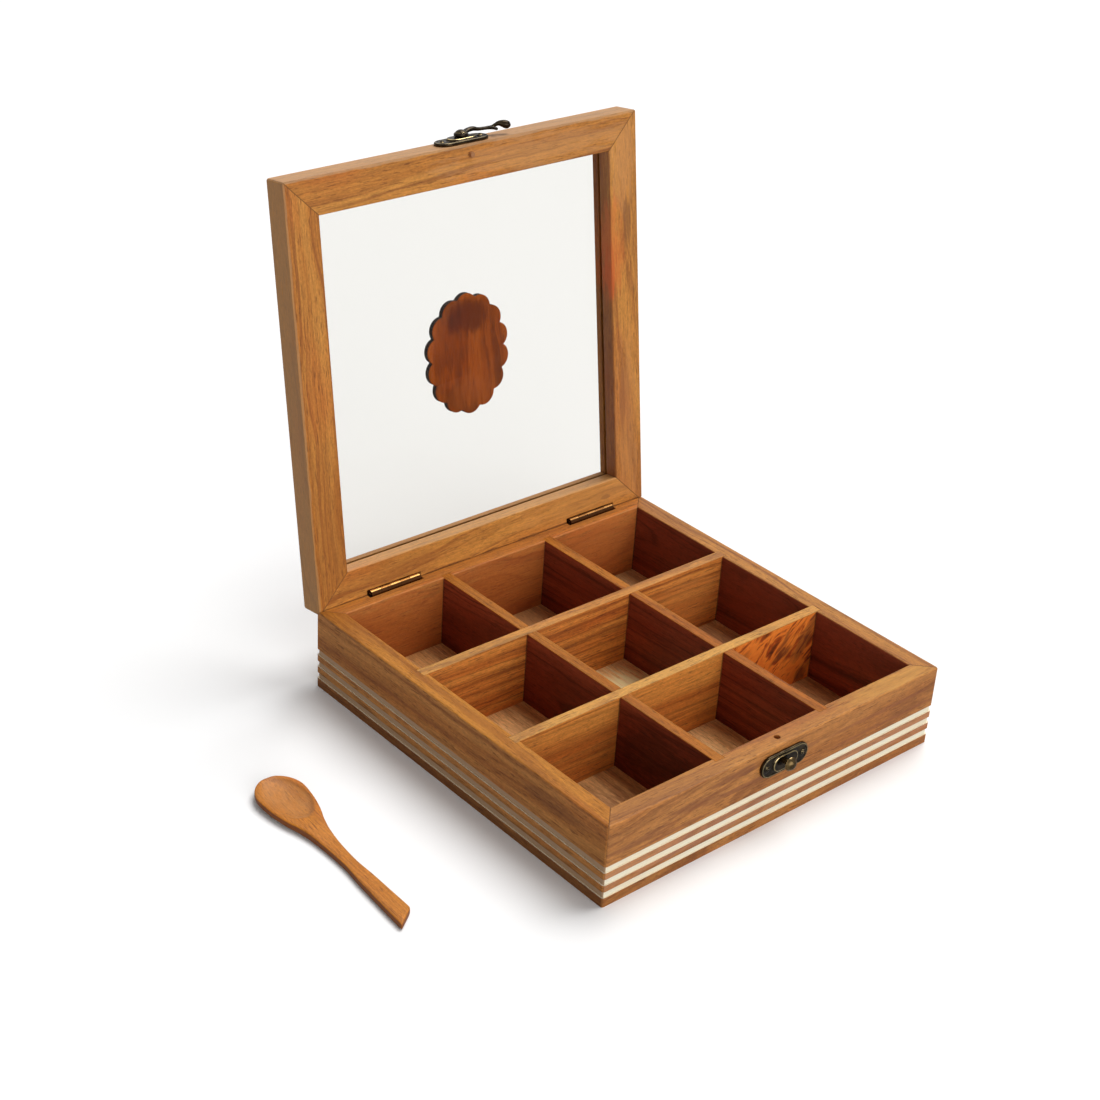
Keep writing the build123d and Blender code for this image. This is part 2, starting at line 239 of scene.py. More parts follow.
boxWood = woodTones((196, 132, 68), (178, 111, 51), (140, 78, 38), (112, 58, 30),
                    (176, 90, 42), (104, 58, 28))
lidWood = woodTones((206, 140, 62), (186, 117, 46), (146, 82, 34), (122, 66, 30),
                    (190, 88, 32), (112, 62, 28))
orangeWood = woodTones((225, 149, 68), (208, 122, 51), (148, 76, 30), (98, 46, 22),
                       (184, 78, 28), (88, 42, 20))
maroonWood = woodTones((148, 70, 44), (124, 52, 33), (86, 28, 15), (64, 18, 11),
                       (140, 44, 22), (50, 16, 10))
floorWood = woodTones((248, 194, 128), (234, 172, 104), (200, 134, 74), (172, 110, 58),
                      (222, 150, 86), (152, 96, 52))
spoonWood = woodTones((198, 126, 40), (182, 106, 27), (156, 82, 22), (142, 76, 30),
                      (198, 100, 34), (124, 68, 30))
medallionWood = woodTones((192, 100, 30), (152, 66, 16), (96, 36, 10), (62, 24, 8),
                          (186, 78, 20), (54, 22, 8))

grainLook = dict(ringWidth=7.5, ringShare=0.5, streakShare=0.75, blushShare=0.35, fibreShare=0.42,
                 speckleShare=0.34, poreShare=0.6, roughness=0.52, relief=0.00007)
# How far the rings sway, and how long and wide the bands and lines between them are, in millimetres.
ringLook = dict(sway=15, waver=2.2, wander=2.2, band=(420, 10), line=(190, 1.5), lineShift=3.7)
# One patch along, across and through the board, in millimetres, then its detail and roughness.
grainPatches = dict(sway=((120, 34, 34), 2.0, 0.5), waver=((30, 5, 5), 2.0, 0.5),
                    blotch=((70, 22, 22), 2.0, 0.5), fibre=((9, 0.7, 0.7), 3.0, 0.62),
                    speckle=((1.7, 0.9, 0.9), 2.0, 0.6), pore=((6.0, 0.5, 0.5), 1.0, 0.5))


def woodColour(finish, grain, wood, look, pith, tilt):
    # grain holds millimetres along, across and through one board, whose length is the pattern's X.
    along, across, through = finish.parts(grain)
    sway, waver, blotch, fibre, speckle, pore = (finish.noise(grain, *patch)
                                                 for patch in grainPatches.values())
    off = across - pith[0] + along * tilt[0] + (sway - 0.5) * ringLook["sway"]
    deep = through - pith[1] + along * tilt[1]
    radius = (off * off + deep * deep) ** 0.5 + (waver - 0.5) * ringLook["waver"]
    bandLength, bandWidth = ringLook["band"]
    lineLength, lineWidth = ringLook["line"]
    bands = finish.noise(finish.joined(along / bandLength, radius / bandWidth, 0.0), (1, 1, 1), 3.0, 0.6)
    lines = finish.noise(finish.joined(along / lineLength, radius / lineWidth, ringLook["lineShift"]),
                         (1, 1, 1), 4.0, 0.66)
    turn = (radius / look["ringWidth"] + (bands - 0.5) * ringLook["wander"]).fract()
    rings = finish.step(turn, 0.35, 0.94) * (1 - finish.step(turn, 0.94, 1.0))
    pores = finish.step(pore, 0.6, 0.72)
    tone = finish.blend(finish.step(bands, 0.36, 0.64), wood["pale"], wood["body"])
    tone = finish.blend(finish.step(lines, 0.49, 0.7) * look["streakShare"], tone, wood["streak"])
    tone = finish.blend(rings * finish.step(lines, 0.3, 0.6) * look["ringShare"], tone, wood["ring"])
    tone = finish.blend(finish.step(blotch, 0.52, 0.8) * look["blushShare"], tone, wood["blush"])
    tone = finish.blend(pores * look["poreShare"], tone, wood["pore"])
    shade = (1 + (fibre - 0.5) * (2 * look["fibreShare"])
             + (speckle - 0.5) * (2 * look["speckleShare"]))
    tone = finish.node("VectorMath", dict(operation="SCALE"), {0: tone, "Scale": shade})
    height = fibre * 0.5 - pores - rings * 0.2
    return tone, height


# Boards: which way each runs, where its pith lies and how it leans, in millimetres.
def board(run, wood, pith, tilt=(0.0, 0.0), shift=0, shut=False, **more):
    return dict(run=run, wood=wood, pith=pith, tilt=tilt, shift=shift, shut=shut, more=more)


dullCoat = dict(coat=0.0, gloss=0.2)

# Outer faces and the rim, in millimetres. Each stain or patch of painted light and shade holds a middle, half
# sizes, a colour and a share.
frontFace = -99
leftFace = -99
rimTop = 40.3

# How much the upper edges are deeper than their boards.
wallTop = (0.88, 0.86, 0.54)
leftTop = (0.9, 0.84, 0.4)
backTop = (0.95, 0.85, 0.48)
longTop = (0.63, 0.6, 0.29)
crossTop = (0.86, 1.08, 1.1)

boards = {
    "front_wall": board("x", boxWood, (6, -14), (0.055, 0.02), 40, ringShare=0.5, ringWidth=10.0,
                        streakShare=0.7, top=wallTop, stains=[
        ((-80, frontFace, 25.5), (24, 30, 2.8), (126, 70, 44), 0.55),
        ((-52, frontFace, 30), (24, 30, 3.0), (126, 70, 44), 0.55),
        ((-26, frontFace, 35), (22, 30, 2.6), (122, 66, 40), 0.6),
        ((-60, frontFace, 22), (26, 4, 1.3), (132, 74, 48), 0.55),
        ((-28, frontFace, 27), (26, 4, 1.6), (132, 74, 48), 0.55),
        ((8, frontFace, 31.5), (24, 4, 1.3), (132, 74, 48), 0.5),
        ((62, frontFace, 31), (44, 4, 1.4), (146, 84, 52), 0.5),
        ((70, frontFace, 24), (50, 4, 1.2), (146, 84, 52), 0.45),
        ((0, frontFace, 13.4), (400, 2, 7), (206, 150, 124), 0.35),
        ((-66, -94.5, 40), (44, 6, 1.2), (140, 82, 44), 0.35),
        ((74, -94.5, 40), (38, 6, 1.2), (226, 168, 92), 0.45)]),
    "back_wall": board("x", boxWood, (34, 30), (0.02, 0.03), 340, ringWidth=6.0, top=backTop, stains=[
        # Painted shadow: a dark line along the back of the rim, where the open lid meets it.
        ((0, 98.3, 40), (400, 1.5, 1.4), (84, 44, 24), 0.6),
        ((0, 89.5, 20), (400, 3, 30), (198, 100, 42), 0.4),
        ((66, 89.5, 26), (40, 3, 20), (218, 132, 66), 0.35)]),
    "left_wall": board("y", boxWood, (60, -40), (0.01, 0.01), 660, side="left", ringShare=0.25,
                       streakShare=0.5, top=leftTop, lacquer=dullCoat, stains=[
        ((-94, -6, rimTop), (8, 40, 1.5), (214, 146, 76), 0.2),
        # Painted shade: the back end of the rim darker.
        ((-94, 84, rimTop), (8, 30, 1.5), (150, 86, 50), 0.35),
        ((leftFace, -66, 31), (30, 24, 5), (104, 60, 36), 0.4),
        # Painted shade: the bottom of the left face darker, next to the floor.
        ((leftFace, 0, 1), (6, 300, 9), (84, 40, 22), 0.6)]),
    "right_wall": board("y", boxWood, (-38, 36), (0.02, 0.0), 930, side="right", top=wallTop, stains=[
        ((89.5, 0, 20), (3, 26, 24), (150, 62, 36), 0.3),
        # Painted shade: the back end of the rim darker.
        ((94, 82, 40), (7, 40, 1.2), (140, 82, 42), 0.4)]),
    "divider_left": board("y", orangeWood, (40, 20), (0.02, 0.0), 1240, stained=True, top=longTop,
                          lacquer=dullCoat, stains=[
        # Painted shade on the dark side faces: deepest at the front cell, less in the middle cell.
        ((-31, -62, 20), (8, 36, 19), (54, 20, 12), 0.6),
        ((-31, 0, 16), (8, 24, 19), (84, 30, 17), 0.35)]),
    "divider_right": board("y", orangeWood, (30, -26), (0.0, 0.03), 1530, stained=True, top=longTop,
                           lacquer=dullCoat, stains=[
        # Painted light on the dark side faces at the back, and painted shade in the middle cell.
        ((31, 60, 20), (8, 30, 18), (152, 60, 34), 0.3),
        ((31, 0, 16), (8, 24, 19), (84, 32, 20), 0.45)]),
    "divider_front": board("x", orangeWood, (24, 22), (0.03, 0.03), 1830, ringShare=0.35,
                           streakShare=0.6, top=crossTop, figured=True),
    "divider_back": board("x", orangeWood, (44, -18), (0.02, 0.02), 2160, ringWidth=5.0, ringShare=0.45,
                          streakShare=0.6, top=crossTop, stains=[
        ((62, 29, 20), (34, 6, 22), (236, 160, 84), 0.35)]),
    "base_panel": board("y", floorWood, (0, -70), (0.01, 0.02), 2480, ringWidth=12.0, stains=[
        # Painted light and shade on the cells' floors: lighter in the middle cell, darker in the others
        # listed here.
        ((-60, -62, 4), (30, 30, 6), (126, 70, 34), 0.66),
        ((0, 0, 4), (34, 34, 6), (255, 234, 172), 0.9),
        ((70, 8, 4), (28, 28, 6), (130, 78, 68), 0.5),
        ((70, -54, 4), (28, 28, 6), (112, 44, 24), 0.5),
        ((-60, 0, 4), (28, 28, 6), (170, 110, 62), 0.35),
        ((12, 74, 4), (28, 28, 6), (160, 104, 68), 0.5),
        ((72, 74, 4), (28, 28, 6), (176, 138, 96), 0.5)]),
    "lid_front_rail": board("x", lidWood, (-120, 16), (0.03, 0.02), 2810, shut=True, stains=[
        ((0, frontFace, 46), (400, 1.4, 40), (206, 176, 140), 0.42),
        ((40, -90, rimTop), (70, 9, 2), (206, 150, 98), 0.4)]),
    "lid_back_rail": board("x", lidWood, (116, 22), (0.02, 0.02), 3120, shut=True, stains=[
        ((74.7, 90.3, rimTop), (3.2, 1.4, 3), (104, 54, 32), 0.8),
        ((0, 82, 46), (400, 0.8, 14), (222, 180, 128), 0.32),
        ((60, 88, rimTop), (60, 9, 2), (220, 154, 82), 0.4),
        ((-60, 90, rimTop), (50, 10, 2), (152, 86, 38), 0.35),
        # Painted shadow: a dark line along the lid's back edge, where it meets the rim.
        ((0, 97.6, 40.5), (400, 1.5, 2), (80, 42, 22), 0.75)]),
    "lid_left_stile": board("y", lidWood, (-60, 26), (0.02, 0.01), 3450, shut=True, stains=[
        ((leftFace, 0, 46), (1.4, 400, 40), (182, 142, 98), 0.55),
        ((-90, 66, rimTop), (10, 50, 2), (146, 84, 38), 0.35)]),
    "lid_right_stile": board("y", lidWood, (64, 12), (0.05, 0.02), 3760, shut=True, blushShare=0.6, stains=[
        # Painted shade: the right-hand side of the opening, which faces away from the light, darker.
        ((82, 0, 46), (0.8, 400, 14), (96, 46, 30), 0.5),
        ((90, 60, rimTop), (9, 60, 2), (212, 146, 84), 0.35),
        ((90, -80, rimTop), (9, 34, 2), (210, 150, 94), 0.45),
        ((84, -34, rimTop), (7, 30, 14), (214, 106, 42), 0.5),
        ((83, -24, rimTop), (3, 16, 14), (206, 84, 30), 0.45),
        ((92.5, -46, rimTop), (3.0, 16, 14), (112, 66, 38), 0.55),
        ((87, 40, rimTop), (2.4, 26, 14), (136, 78, 42), 0.5)]),
}
mitreLine = dict(halfWidth=0.12, softness=0.16, share=0.7, colour=colour(70, 38, 20), corner=98.8,
                 cornerFade=0.5)
coatOfLacquer = dict(coat=0.05, coatRoughness=0.35, gloss=0.3)

# The cream bands show on the ledge below them too. Heights are in millimetres.
bandLook = dict(lowest=4.5, pitch=6.25, over=17.3, near=0.02, colour=colour(255, 242, 214),
                facing=(0.4, 0.6), fade=0.1)

# Names in Edge, Top, Face and Facing hold where a change starts and ends, places in millimetres.
boardLook = dict(drift=(0.37, 0.61), sheen=0.08, darkPith=12, darkTilt=(0.04, 0.02),
                 underTop=(39.55, 39.75), innerFace=(89.55, 89.75), stainAndShadeCloud=((14, 2.2, 2.2), 3.0, 0.6),
                 ragged=2.4, stainAndShadeEdge=(0.1, 1.0), shadedJoints=(-33.8, 28.4, 89.3), jointShadeEdge=(0.15, 0.4),
                 jointShadeShare=0.75, topEdge=(39.3, 39.6), topFacing=(0.6, 0.9), wear=(0.0006, 0.01, 0.12),
                 wearShare=0.3, softRadius=0.0005)
# The painted shade in the cells' right-hand inside corners isn't kept to one face, so it shows on the back
# wall's outside too.
jointShaded = ("divider_front", "divider_back", "back_wall")

# A flame figure in the front divider's right-hand panel: slanting streaks of orange and dark brown.
figureLook = dict(slant=(0.75, 0.66), flame=((20, 6.5, 12), 4.0, 0.55, 1.4),
                  smoke=((24, 9, 12), 2.0, 0.5, 0.4), smokeEdge=(0.52, 0.66), smokeShare=0.6,
                  smokeColour=colour(96, 62, 38), share=0.9, right=(30, 36), face=(-33.4, -33.2),
                  top=(39.4, 39.7),
                  stops=[(0.32, colour(74, 26, 12)), (0.41, colour(180, 74, 24)),
                         (0.5, colour(255, 146, 54)), (0.62, colour(240, 124, 44)),
                         (0.68, colour(134, 60, 26)), (0.78, colour(198, 112, 54))])


def boardSeat(settings):
    # Takes the object's place to the pattern's, where the board lies along X.
    seat = patternSeat(settings["shut"])
    if settings["run"] == "y":
        seat = Matrix.Rotation(math.radians(-90), 4, "Z") @ seat
    return Matrix.Translation((settings["shift"] * mm, 0, 0)) @ seat


def figuredPatch(finish, x, y, z, tone, look):
    run, rise = look["slant"]
    slanting = finish.joined(x * run + z * rise, z * run - x * rise, y)
    flame = finish.noise(slanting, *look["flame"])
    smoke = finish.noise(slanting, *look["smoke"])
    fire = finish.blend(finish.step(smoke, *look["smokeEdge"]) * look["smokeShare"],
                        finish.ramp(flame, look["stops"]), look["smokeColour"])
    share = (finish.step(x, *look["right"]) * (1 - finish.step(y, *look["face"]))
             * (1 - finish.step(z, *look["top"])))
    return finish.blend(share * look["share"], tone, fire)


def boardFinish(name, settings):
    more = settings["more"]
    look = {**grainLook, **{key: value for key, value in more.items() if key in grainLook}}
    finish = Finish(name + "_finish")
    grain = finish.mapped(boardSeat(settings))
    pith = settings["pith"]
    drift = [settings["shift"] * share for share in boardLook["drift"]]
    tone, height = woodColour(finish, finish.node("VectorMath", dict(operation="ADD"),
                                                  {0: grain, 1: (0, *drift)}),
                              settings["wood"], look, (pith[0] + drift[0], pith[1] + drift[1]),
                              settings["tilt"])
    x, y, z = finish.parts(finish.mapped(patternSeat(settings["shut"])))
    if more.get("side") or more.get("stained"):
        dark, _ = woodColour(finish, grain, maroonWood, look, (pith[0], pith[1] + boardLook["darkPith"]),
                             boardLook["darkTilt"])
        start, end = boardLook["innerFace"]
        if more.get("stained"):
            mask = 1 - finish.step(z, *boardLook["underTop"])
        elif more["side"] == "right":
            mask = 1 - finish.step(x, start, end)
        else:
            mask = finish.step(x, -end, -start)
        tone = finish.blend(mask, tone, dark)
    if more.get("figured"):
        tone = figuredPatch(finish, x, y, z, tone, figureLook)
    cloud = finish.noise(grain, *boardLook["stainAndShadeCloud"])
    # Some of these patches are real stains and some are painted light and shade, as marked where they are
    # listed.
    for middle, size, stain, strength in more.get("stains", ()):
        reach = sum(((value - centre) / half) ** 2 for value, centre, half in zip((x, y, z), middle, size))
        reach = reach + (cloud - 0.5) * boardLook["ragged"]
        stained = 1 - finish.step(reach, *boardLook["stainAndShadeEdge"])
        tone = finish.blend(stained * strength, tone, colour(*stain))
    # Painted shade: a dark line at the joint in each cell's right-hand inside corner, in the mitre line's
    # colour.
    if name in jointShaded:
        first, second, third = (abs(x - place) for place in boardLook["shadedJoints"])
        jointShade = 1 - finish.step(first.least(second).least(third), *boardLook["jointShadeEdge"])
        jointShade = jointShade * (1 - finish.step(z, *boardLook["topEdge"])) * boardLook["jointShadeShare"]
        tone = finish.blend(jointShade, tone, mitreLine["colour"])
    if name.endswith(("wall", "rail", "stile")):
        off = abs(abs(x) - abs(y)) * 0.7071  # half of the root of two
        start, end = mitreLine["halfWidth"], mitreLine["corner"]
        line = 1 - finish.step(off, start, start + mitreLine["softness"])
        line = line * (1 - finish.step(abs(x), end - mitreLine["cornerFade"], end))
        tone = finish.blend(line * mitreLine["share"], tone, mitreLine["colour"])
    if name.endswith("wall"):
        level = ((z - bandLook["lowest"]) / bandLook["pitch"] + 0.5).fract()
        ledge = 1 - finish.step(abs(level - 0.5), bandLook["near"] * 0.5, bandLook["near"])
        under = 1 - finish.step(z, bandLook["over"], bandLook["over"] + bandLook["fade"])
        upward = finish.step(finish.facing()[2], *bandLook["facing"]) * under
        tone = finish.blend(ledge * upward, tone, bandLook["colour"])
    worn = finish.edgeWear(*boardLook["wear"])
    tone = finish.blend(worn * boardLook["wearShare"], tone, settings["wood"]["pale"])
    if more.get("top"):
        onTop = (finish.step(finish.facing()[2], *boardLook["topFacing"])
                 * finish.step(z, *boardLook["topEdge"]))
        tone = finish.blend(onTop, tone, more["top"], "MULTIPLY")
    finish.set(tone, look["roughness"] - height * boardLook["sheen"],
               finish.bump(height, look["relief"], finish.softEdges(boardLook["softRadius"])),
               **{**coatOfLacquer, **more.get("lacquer", {})})
    return finish.material


def dress(node, material):
    slots = nodes[node].data.materials
    slots.clear()
    slots.append(material)


for nodeName, settings in boards.items():
    dress(nodeName, boardFinish(nodeName, settings))
print("boards finished")


# Cream bands, the peg, brass and glass
def creamFinish():
    finish = Finish("cream_band_finish")
    grain = finish.mapped(patternSeat(False))
    fibre = finish.noise(grain, (7, 7, 0.5), 3.0, 0.6)
    cloud = finish.noise(grain, (26, 26, 3), 2.0, 0.5)
    tone = finish.blend(finish.step(cloud, 0.35, 0.7), colour(255, 248, 224), colour(255, 240, 210))
    tone = finish.blend(finish.step(fibre, 0.5, 0.85) * 0.35, tone, colour(222, 192, 152))
    # The left side's bands are browner in the photograph.
    # The browner tone there is painted shade, for the shade under the lip of each groove.
    leftSideShade = finish.step(finish.facing()[0] * -1, 0.4, 0.6)
    tone = finish.blend(leftSideShade * 0.85, tone, colour(168, 124, 84))
    finish.set(tone, 0.5 - fibre * 0.1, finish.bump(fibre, 0.00004, finish.softEdges(0.0004)),
               **coatOfLacquer)
    return finish.material


def pegFinish():
    finish = Finish("peg_finish")
    grain = finish.mapped(patternSeat(True))
    fibre = finish.noise(grain, (0.4, 0.4, 5), 3.0, 0.6)
    tone = finish.blend(fibre, colour(188, 132, 82), colour(132, 78, 44))
    finish.set(tone, 0.6 - fibre * 0.1, finish.bump(fibre, 0.00005, finish.softEdges(0.0003)))
    return finish.material


def metalFinish(name, low, high, worn, roughness, patchiness, shut, topLine=None, plate=None):
    # topLine gives painted light and shade: the metal is bright only where it looks up at rest and dark
    # elsewhere, as on a barrel sunk between two boards.
    # plate is the height of a fixing plate's middle, whose rim and raised edge are rubbed bright.
    finish = Finish(name)
    place = finish.mapped(patternSeat(shut))
    cloud = finish.noise(place, (4.5, 4.5, 4.5), 3.0, 0.55)
    speck = finish.noise(place, (0.45, 0.45, 0.45), 3.0, 0.6)
    tone = finish.blend(finish.step(cloud, 0.38, 0.68) * patchiness, low, high)
    rubbed = finish.edgeWear(0.0004, 0.02, 0.2) * finish.step(cloud, 0.2, 0.5)
    if topLine:
        rightward = finish.step(finish.parts(place)[0], *rightHinge["fade"])
        paintedLit = finish.step(finish.facing()[2], *topLine) * (1 - rightward * rightHinge["share"])
        tone = finish.blend(paintedLit, low, high)
        rubbed = rubbed * paintedLit
    if plate:
        x, _, z = finish.parts(place)
        for length, width in plateRims:
            ahead = (abs(x) - (length - width)).most(0.0)
            off = abs((ahead * ahead + (z - plate) * (z - plate)) ** 0.5 - width)
            patchy = 0.5 + finish.step(cloud, *rimWear["cloud"]) * 0.5
            bright = (1 - finish.step(off, *rimWear["edge"])) * patchy
            rubbed = (rubbed * rimWear["others"]).most(bright)
    tone = finish.blend(rubbed, tone, worn)
    tone = finish.blend(finish.step(speck, 0.6, 0.8) * 0.4, tone, low)
    rough = roughness + (speck - 0.5) * 0.2 - rubbed * 0.1
    finish.set(tone, rough, finish.bump(speck, 0.000012, finish.softEdges(0.0002)), metallic=1.0)
    return finish.material


def glassFinish():
    finish = Finish("glass_finish")
    place = finish.mapped(patternSeat(True))
    smear = finish.noise(place, (60, 22, 22), 3.0, 0.6)
    finish.set(colour(237, 236, 232), finish.step(smear, 0.5, 0.9) * 0.03, ior=1.12, transmission=1.0)
    path = finish.node("LightPath", out="Is Shadow Ray")
    diffuse = Wire(finish, path.socket.node.outputs["Is Diffuse Ray"])
    clear = finish.node("BsdfTransparent", None, {"Color": (0.98, 0.985, 0.98)})
    mixed = finish.node("MixShader", None, {0: path.most(diffuse),
                                                      1: Wire(finish, finish.surface.outputs[0]), 2: clear})
    finish.tree.links.new(mixed.socket, finish.output.inputs["Surface"])
    return finish.material


creamWood = creamFinish()
for index in (1, 2, 3):
    dress(f"inlay_band_{index}", creamWood)
dress("lid_peg", pegFinish())
dress("glass_pane", glassFinish())

# Half lengths and half widths of the stadiums that are rubbed bright on a fixing plate, in millimetres.
plateRims = ((13.45, 4.7), (7.0, 3.5))
rimWear = dict(edge=(0.1, 0.32), cloud=(0.3, 0.55), others=0.6)
# The right hinge is duller in the photograph: from the middle to 20 mm right of it.
# It dims the painted highlight on that hinge's barrel.
rightHinge = dict(fade=(0, 20), share=0.6)
darkBrass = dict(low=colour(44, 37, 29), high=colour(84, 72, 52), worn=colour(214, 190, 138),
                 roughness=0.24, patchiness=0.6)
studBrass = dict(low=colour(84, 68, 44), high=colour(146, 120, 78), worn=colour(230, 202, 146),
                 roughness=0.26, patchiness=0.8)
boxHingeBrass = dict(low=colour(84, 52, 28), high=colour(206, 156, 90), worn=colour(244, 208, 140),
                     roughness=0.34, patchiness=0.7, topLine=(0.78, 0.95))
lidHingeBrass = dict(boxHingeBrass, high=colour(158, 112, 58), worn=colour(196, 150, 88))
lidBrassFinish = metalFinish("lid_antique_brass_finish", shut=True, **darkBrass)
boxBrassFinish = metalFinish("box_antique_brass_finish", shut=False, **darkBrass)
studFinish = metalFinish("stud_finish", shut=False, **studBrass)
lidHingeFinish = metalFinish("lid_hinge_finish", shut=True, **lidHingeBrass)
boxHingeFinish = metalFinish("box_hinge_finish", shut=False, **boxHingeBrass)
dress("catch_nails", lidBrassFinish)
dress("keeper_nails", boxBrassFinish)
dress("keeper_stud", studFinish)
dress("catch_rivet", lidBrassFinish)
for part in ("left_lid_leaf", "right_lid_leaf", "lid_screws"):
    dress("hinge_" + part, lidHingeFinish)
for part in ("left_box_leaf", "right_box_leaf", "left_pin", "right_pin", "box_screws"):
    dress("hinge_" + part, boxHingeFinish)
print("bands, peg, brass and glass finished")


# New pieces
def finishPiece(name, mesh, seat, body, replaced, materials):
    # Puts the place of a bmesh drawn in millimetres in its own vertices and hands it to its body.
    bmesh.ops.transform(mesh, matrix=seat @ Matrix.Scale(mm, 4), verts=mesh.verts)
    bmesh.ops.remove_doubles(mesh, verts=mesh.verts, dist=0.000004)
    bmesh.ops.recalc_face_normals(mesh, faces=mesh.faces)
    piece = linkedMesh(name, mesh)
    for material in materials:
        piece.data.materials.append(material)
    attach(piece, body)
    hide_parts(*replaced)


def fused(mesh, voxel, rounds):
    # Melts overlapping shells into one cast skin, all in millimetres.
    bmesh.ops.recalc_face_normals(mesh, faces=mesh.faces)
    shells = linkedMesh("shells", mesh)
    data = shells.data
    melt = shells.modifiers.new("melt", "REMESH")
    melt.mode = "VOXEL"
    melt.voxel_size = voxel
    even = shells.modifiers.new("even", "SMOOTH")
    even.factor = 0.5
    even.iterations = rounds
    skin = bpy.data.meshes.new_from_object(shells.evaluated_get(bpy.context.evaluated_depsgraph_get()))
    bpy.data.objects.remove(shells)
    bpy.data.meshes.remove(data)
    made = bmesh.new()
    made.from_mesh(skin)
    bpy.data.meshes.remove(skin)
    return made


def smoothly(value, low, high):
    share = min(max((value - low) / (high - low), 0.0), 1.0)
    return share * share * (3 - 2 * share)


def alongStations(stations, place):
    # Reads a table of (place, value) pairs with a smooth curve between them.
    if place <= stations[0][0]:
        return stations[0][1]
    for (start, low), (end, high) in zip(stations, stations[1:]):
        if place <= end:
            return low + (high - low) * smoothly(place, start, end)
    return stations[-1][1]


def allOf(kind, verts):
    # The edges or faces round some corners, each once.
    return list(dict.fromkeys(part for vertex in verts for part in getattr(vertex, kind)))


def onlyVerts(parts):
    return [part for part in parts if isinstance(part, bmesh.types.BMVert)]


def tube(mesh, sides, rings):
    # Extrudes a circle as many times as there are rings, then sends each ring's angles to their places.
    verts = list(bmesh.ops.create_circle(mesh, segments=sides, radius=1.0)["verts"])
    ends = [allOf("link_edges", verts)]
    for _ in rings[1:]:
        grown = bmesh.ops.extrude_edge_only(mesh, edges=ends[-1])["geom"]
        fresh = onlyVerts(grown)
        bmesh.ops.translate(mesh, verts=fresh, vec=(0, 0, 1))
        ends.append([part for part in grown
                     if isinstance(part, bmesh.types.BMEdge) and set(part.verts) <= set(fresh)])
        verts += fresh
    for edges in (ends[0], ends[-1]):
        bmesh.ops.contextual_create(mesh, geom=edges)
    for vertex in verts:
        vertex.co = rings[round(vertex.co.z)](math.atan2(vertex.co.y, vertex.co.x))


def curvePoints(points, steps):
    # A Catmull-Rom curve through tables of equal length.
    made = []
    padded = [points[0], *points, points[-1]]
    for before, start, end, after in zip(padded, padded[1:], padded[2:], padded[3:]):
        for step in range(steps):
            t = step / steps
            made.append(tuple(0.5 * (2 * b + (c - a) * t + (2 * a - 5 * b + 4 * c - d) * t * t
                                     + (3 * b - a - 3 * c + d) * t ** 3)
                              for a, b, c, d in zip(before, start, end, after)))
    return made + [points[-1]]


def rod(mesh, sides, stations, steps):
    # A bent rod through stations of place (three values), half width and half height.
    points = curvePoints(stations, steps)
    rings = []
    for index, point in enumerate(points):
        ahead, behind = points[min(index + 1, len(points) - 1)], points[max(index - 1, 0)]
        along = Vector([a - b for a, b in zip(ahead[:3], behind[:3])]).normalized()
        side = Vector((0, 0, 1)).cross(along).normalized()
        up = along.cross(side)
        rings.append(lambda angle, middle=Vector(point[:3]), side=side * point[3], up=up * point[4]:
                     middle + side * math.cos(angle) + up * math.sin(angle))
    tube(mesh, sides, rings)


def smoothFaces(mesh):
    for face in mesh.faces:
        face.smooth = True


catchHeight = 46.55
keeperHeight = 31.5


def frontSeat(height):
    # The face that the catch or the keeper lies on: X right, Y up and Z out of the front.
    turn = Matrix(((1, 0, 0), (0, 0, -1), (0, 1, 0))).to_4x4()
    return Matrix.Translation((0, frontFace * mm, height * mm)) @ turn


# Medallion: a lobed oval cut from a board, with a sunk field, petals and a turned boss
medallionSettings = dict(halfWidth=23.96, halfHeight=28.96, lobes=14, lobeRadius=6.246, sides=280,
                         level=49.3,
                         rings=((0.3, 0.0), (0.0, 0.3), (0.0, 2.8), (0.4, 3.2), (1.7, 3.2), (2.1, 3.0),
                                (2.6, 1.5), (3.0, 1.35), (5.5, 1.35)),
                         petalPlace=0.56, petalLength=0.27, petalWidth=2.15, petalTop=2.9, petalBase=1.0,
                         petalGrid=(22, 14), grooveDepth=0.45, grooveWidth=0.2,
                         boss=((5.0, 1.0), (5.0, 2.5), (4.7, 2.9), (4.1, 2.95), (3.6, 2.45), (3.1, 2.5),
                               (2.7, 3.0), (1.9, 3.3), (0.9, 3.38), (0.2, 3.4)), bossSides=48,
                         beadPlace=0.77, beadRadius=0.75, beadLevel=1.35)


def lobedOutline(look, inset):
    middle = (look["halfWidth"] - look["lobeRadius"], look["halfHeight"] - look["lobeRadius"])
    size = look["lobeRadius"] - inset
    centres = []
    for index in range(look["lobes"]):
        turn = math.tau / look["lobes"] * (index + 0.5)
        centres.append((middle[0] * math.cos(turn), middle[1] * math.sin(turn)))

    def reach(angle):
        x, y = math.cos(angle), math.sin(angle)
        far = 1 / math.hypot(x / (middle[0] - inset), y / (middle[1] - inset))
        for centreX, centreY in centres:
            off = centreX * y - centreY * x
            if abs(off) < size:
                far = max(far, centreX * x + centreY * y + math.sqrt(size * size - off * off))
        return far
    return reach


def ringAt(look, inset, level):
    reach = lobedOutline(look, inset)
    return lambda angle: Vector((reach(angle) * math.cos(angle), reach(angle) * math.sin(angle), level))


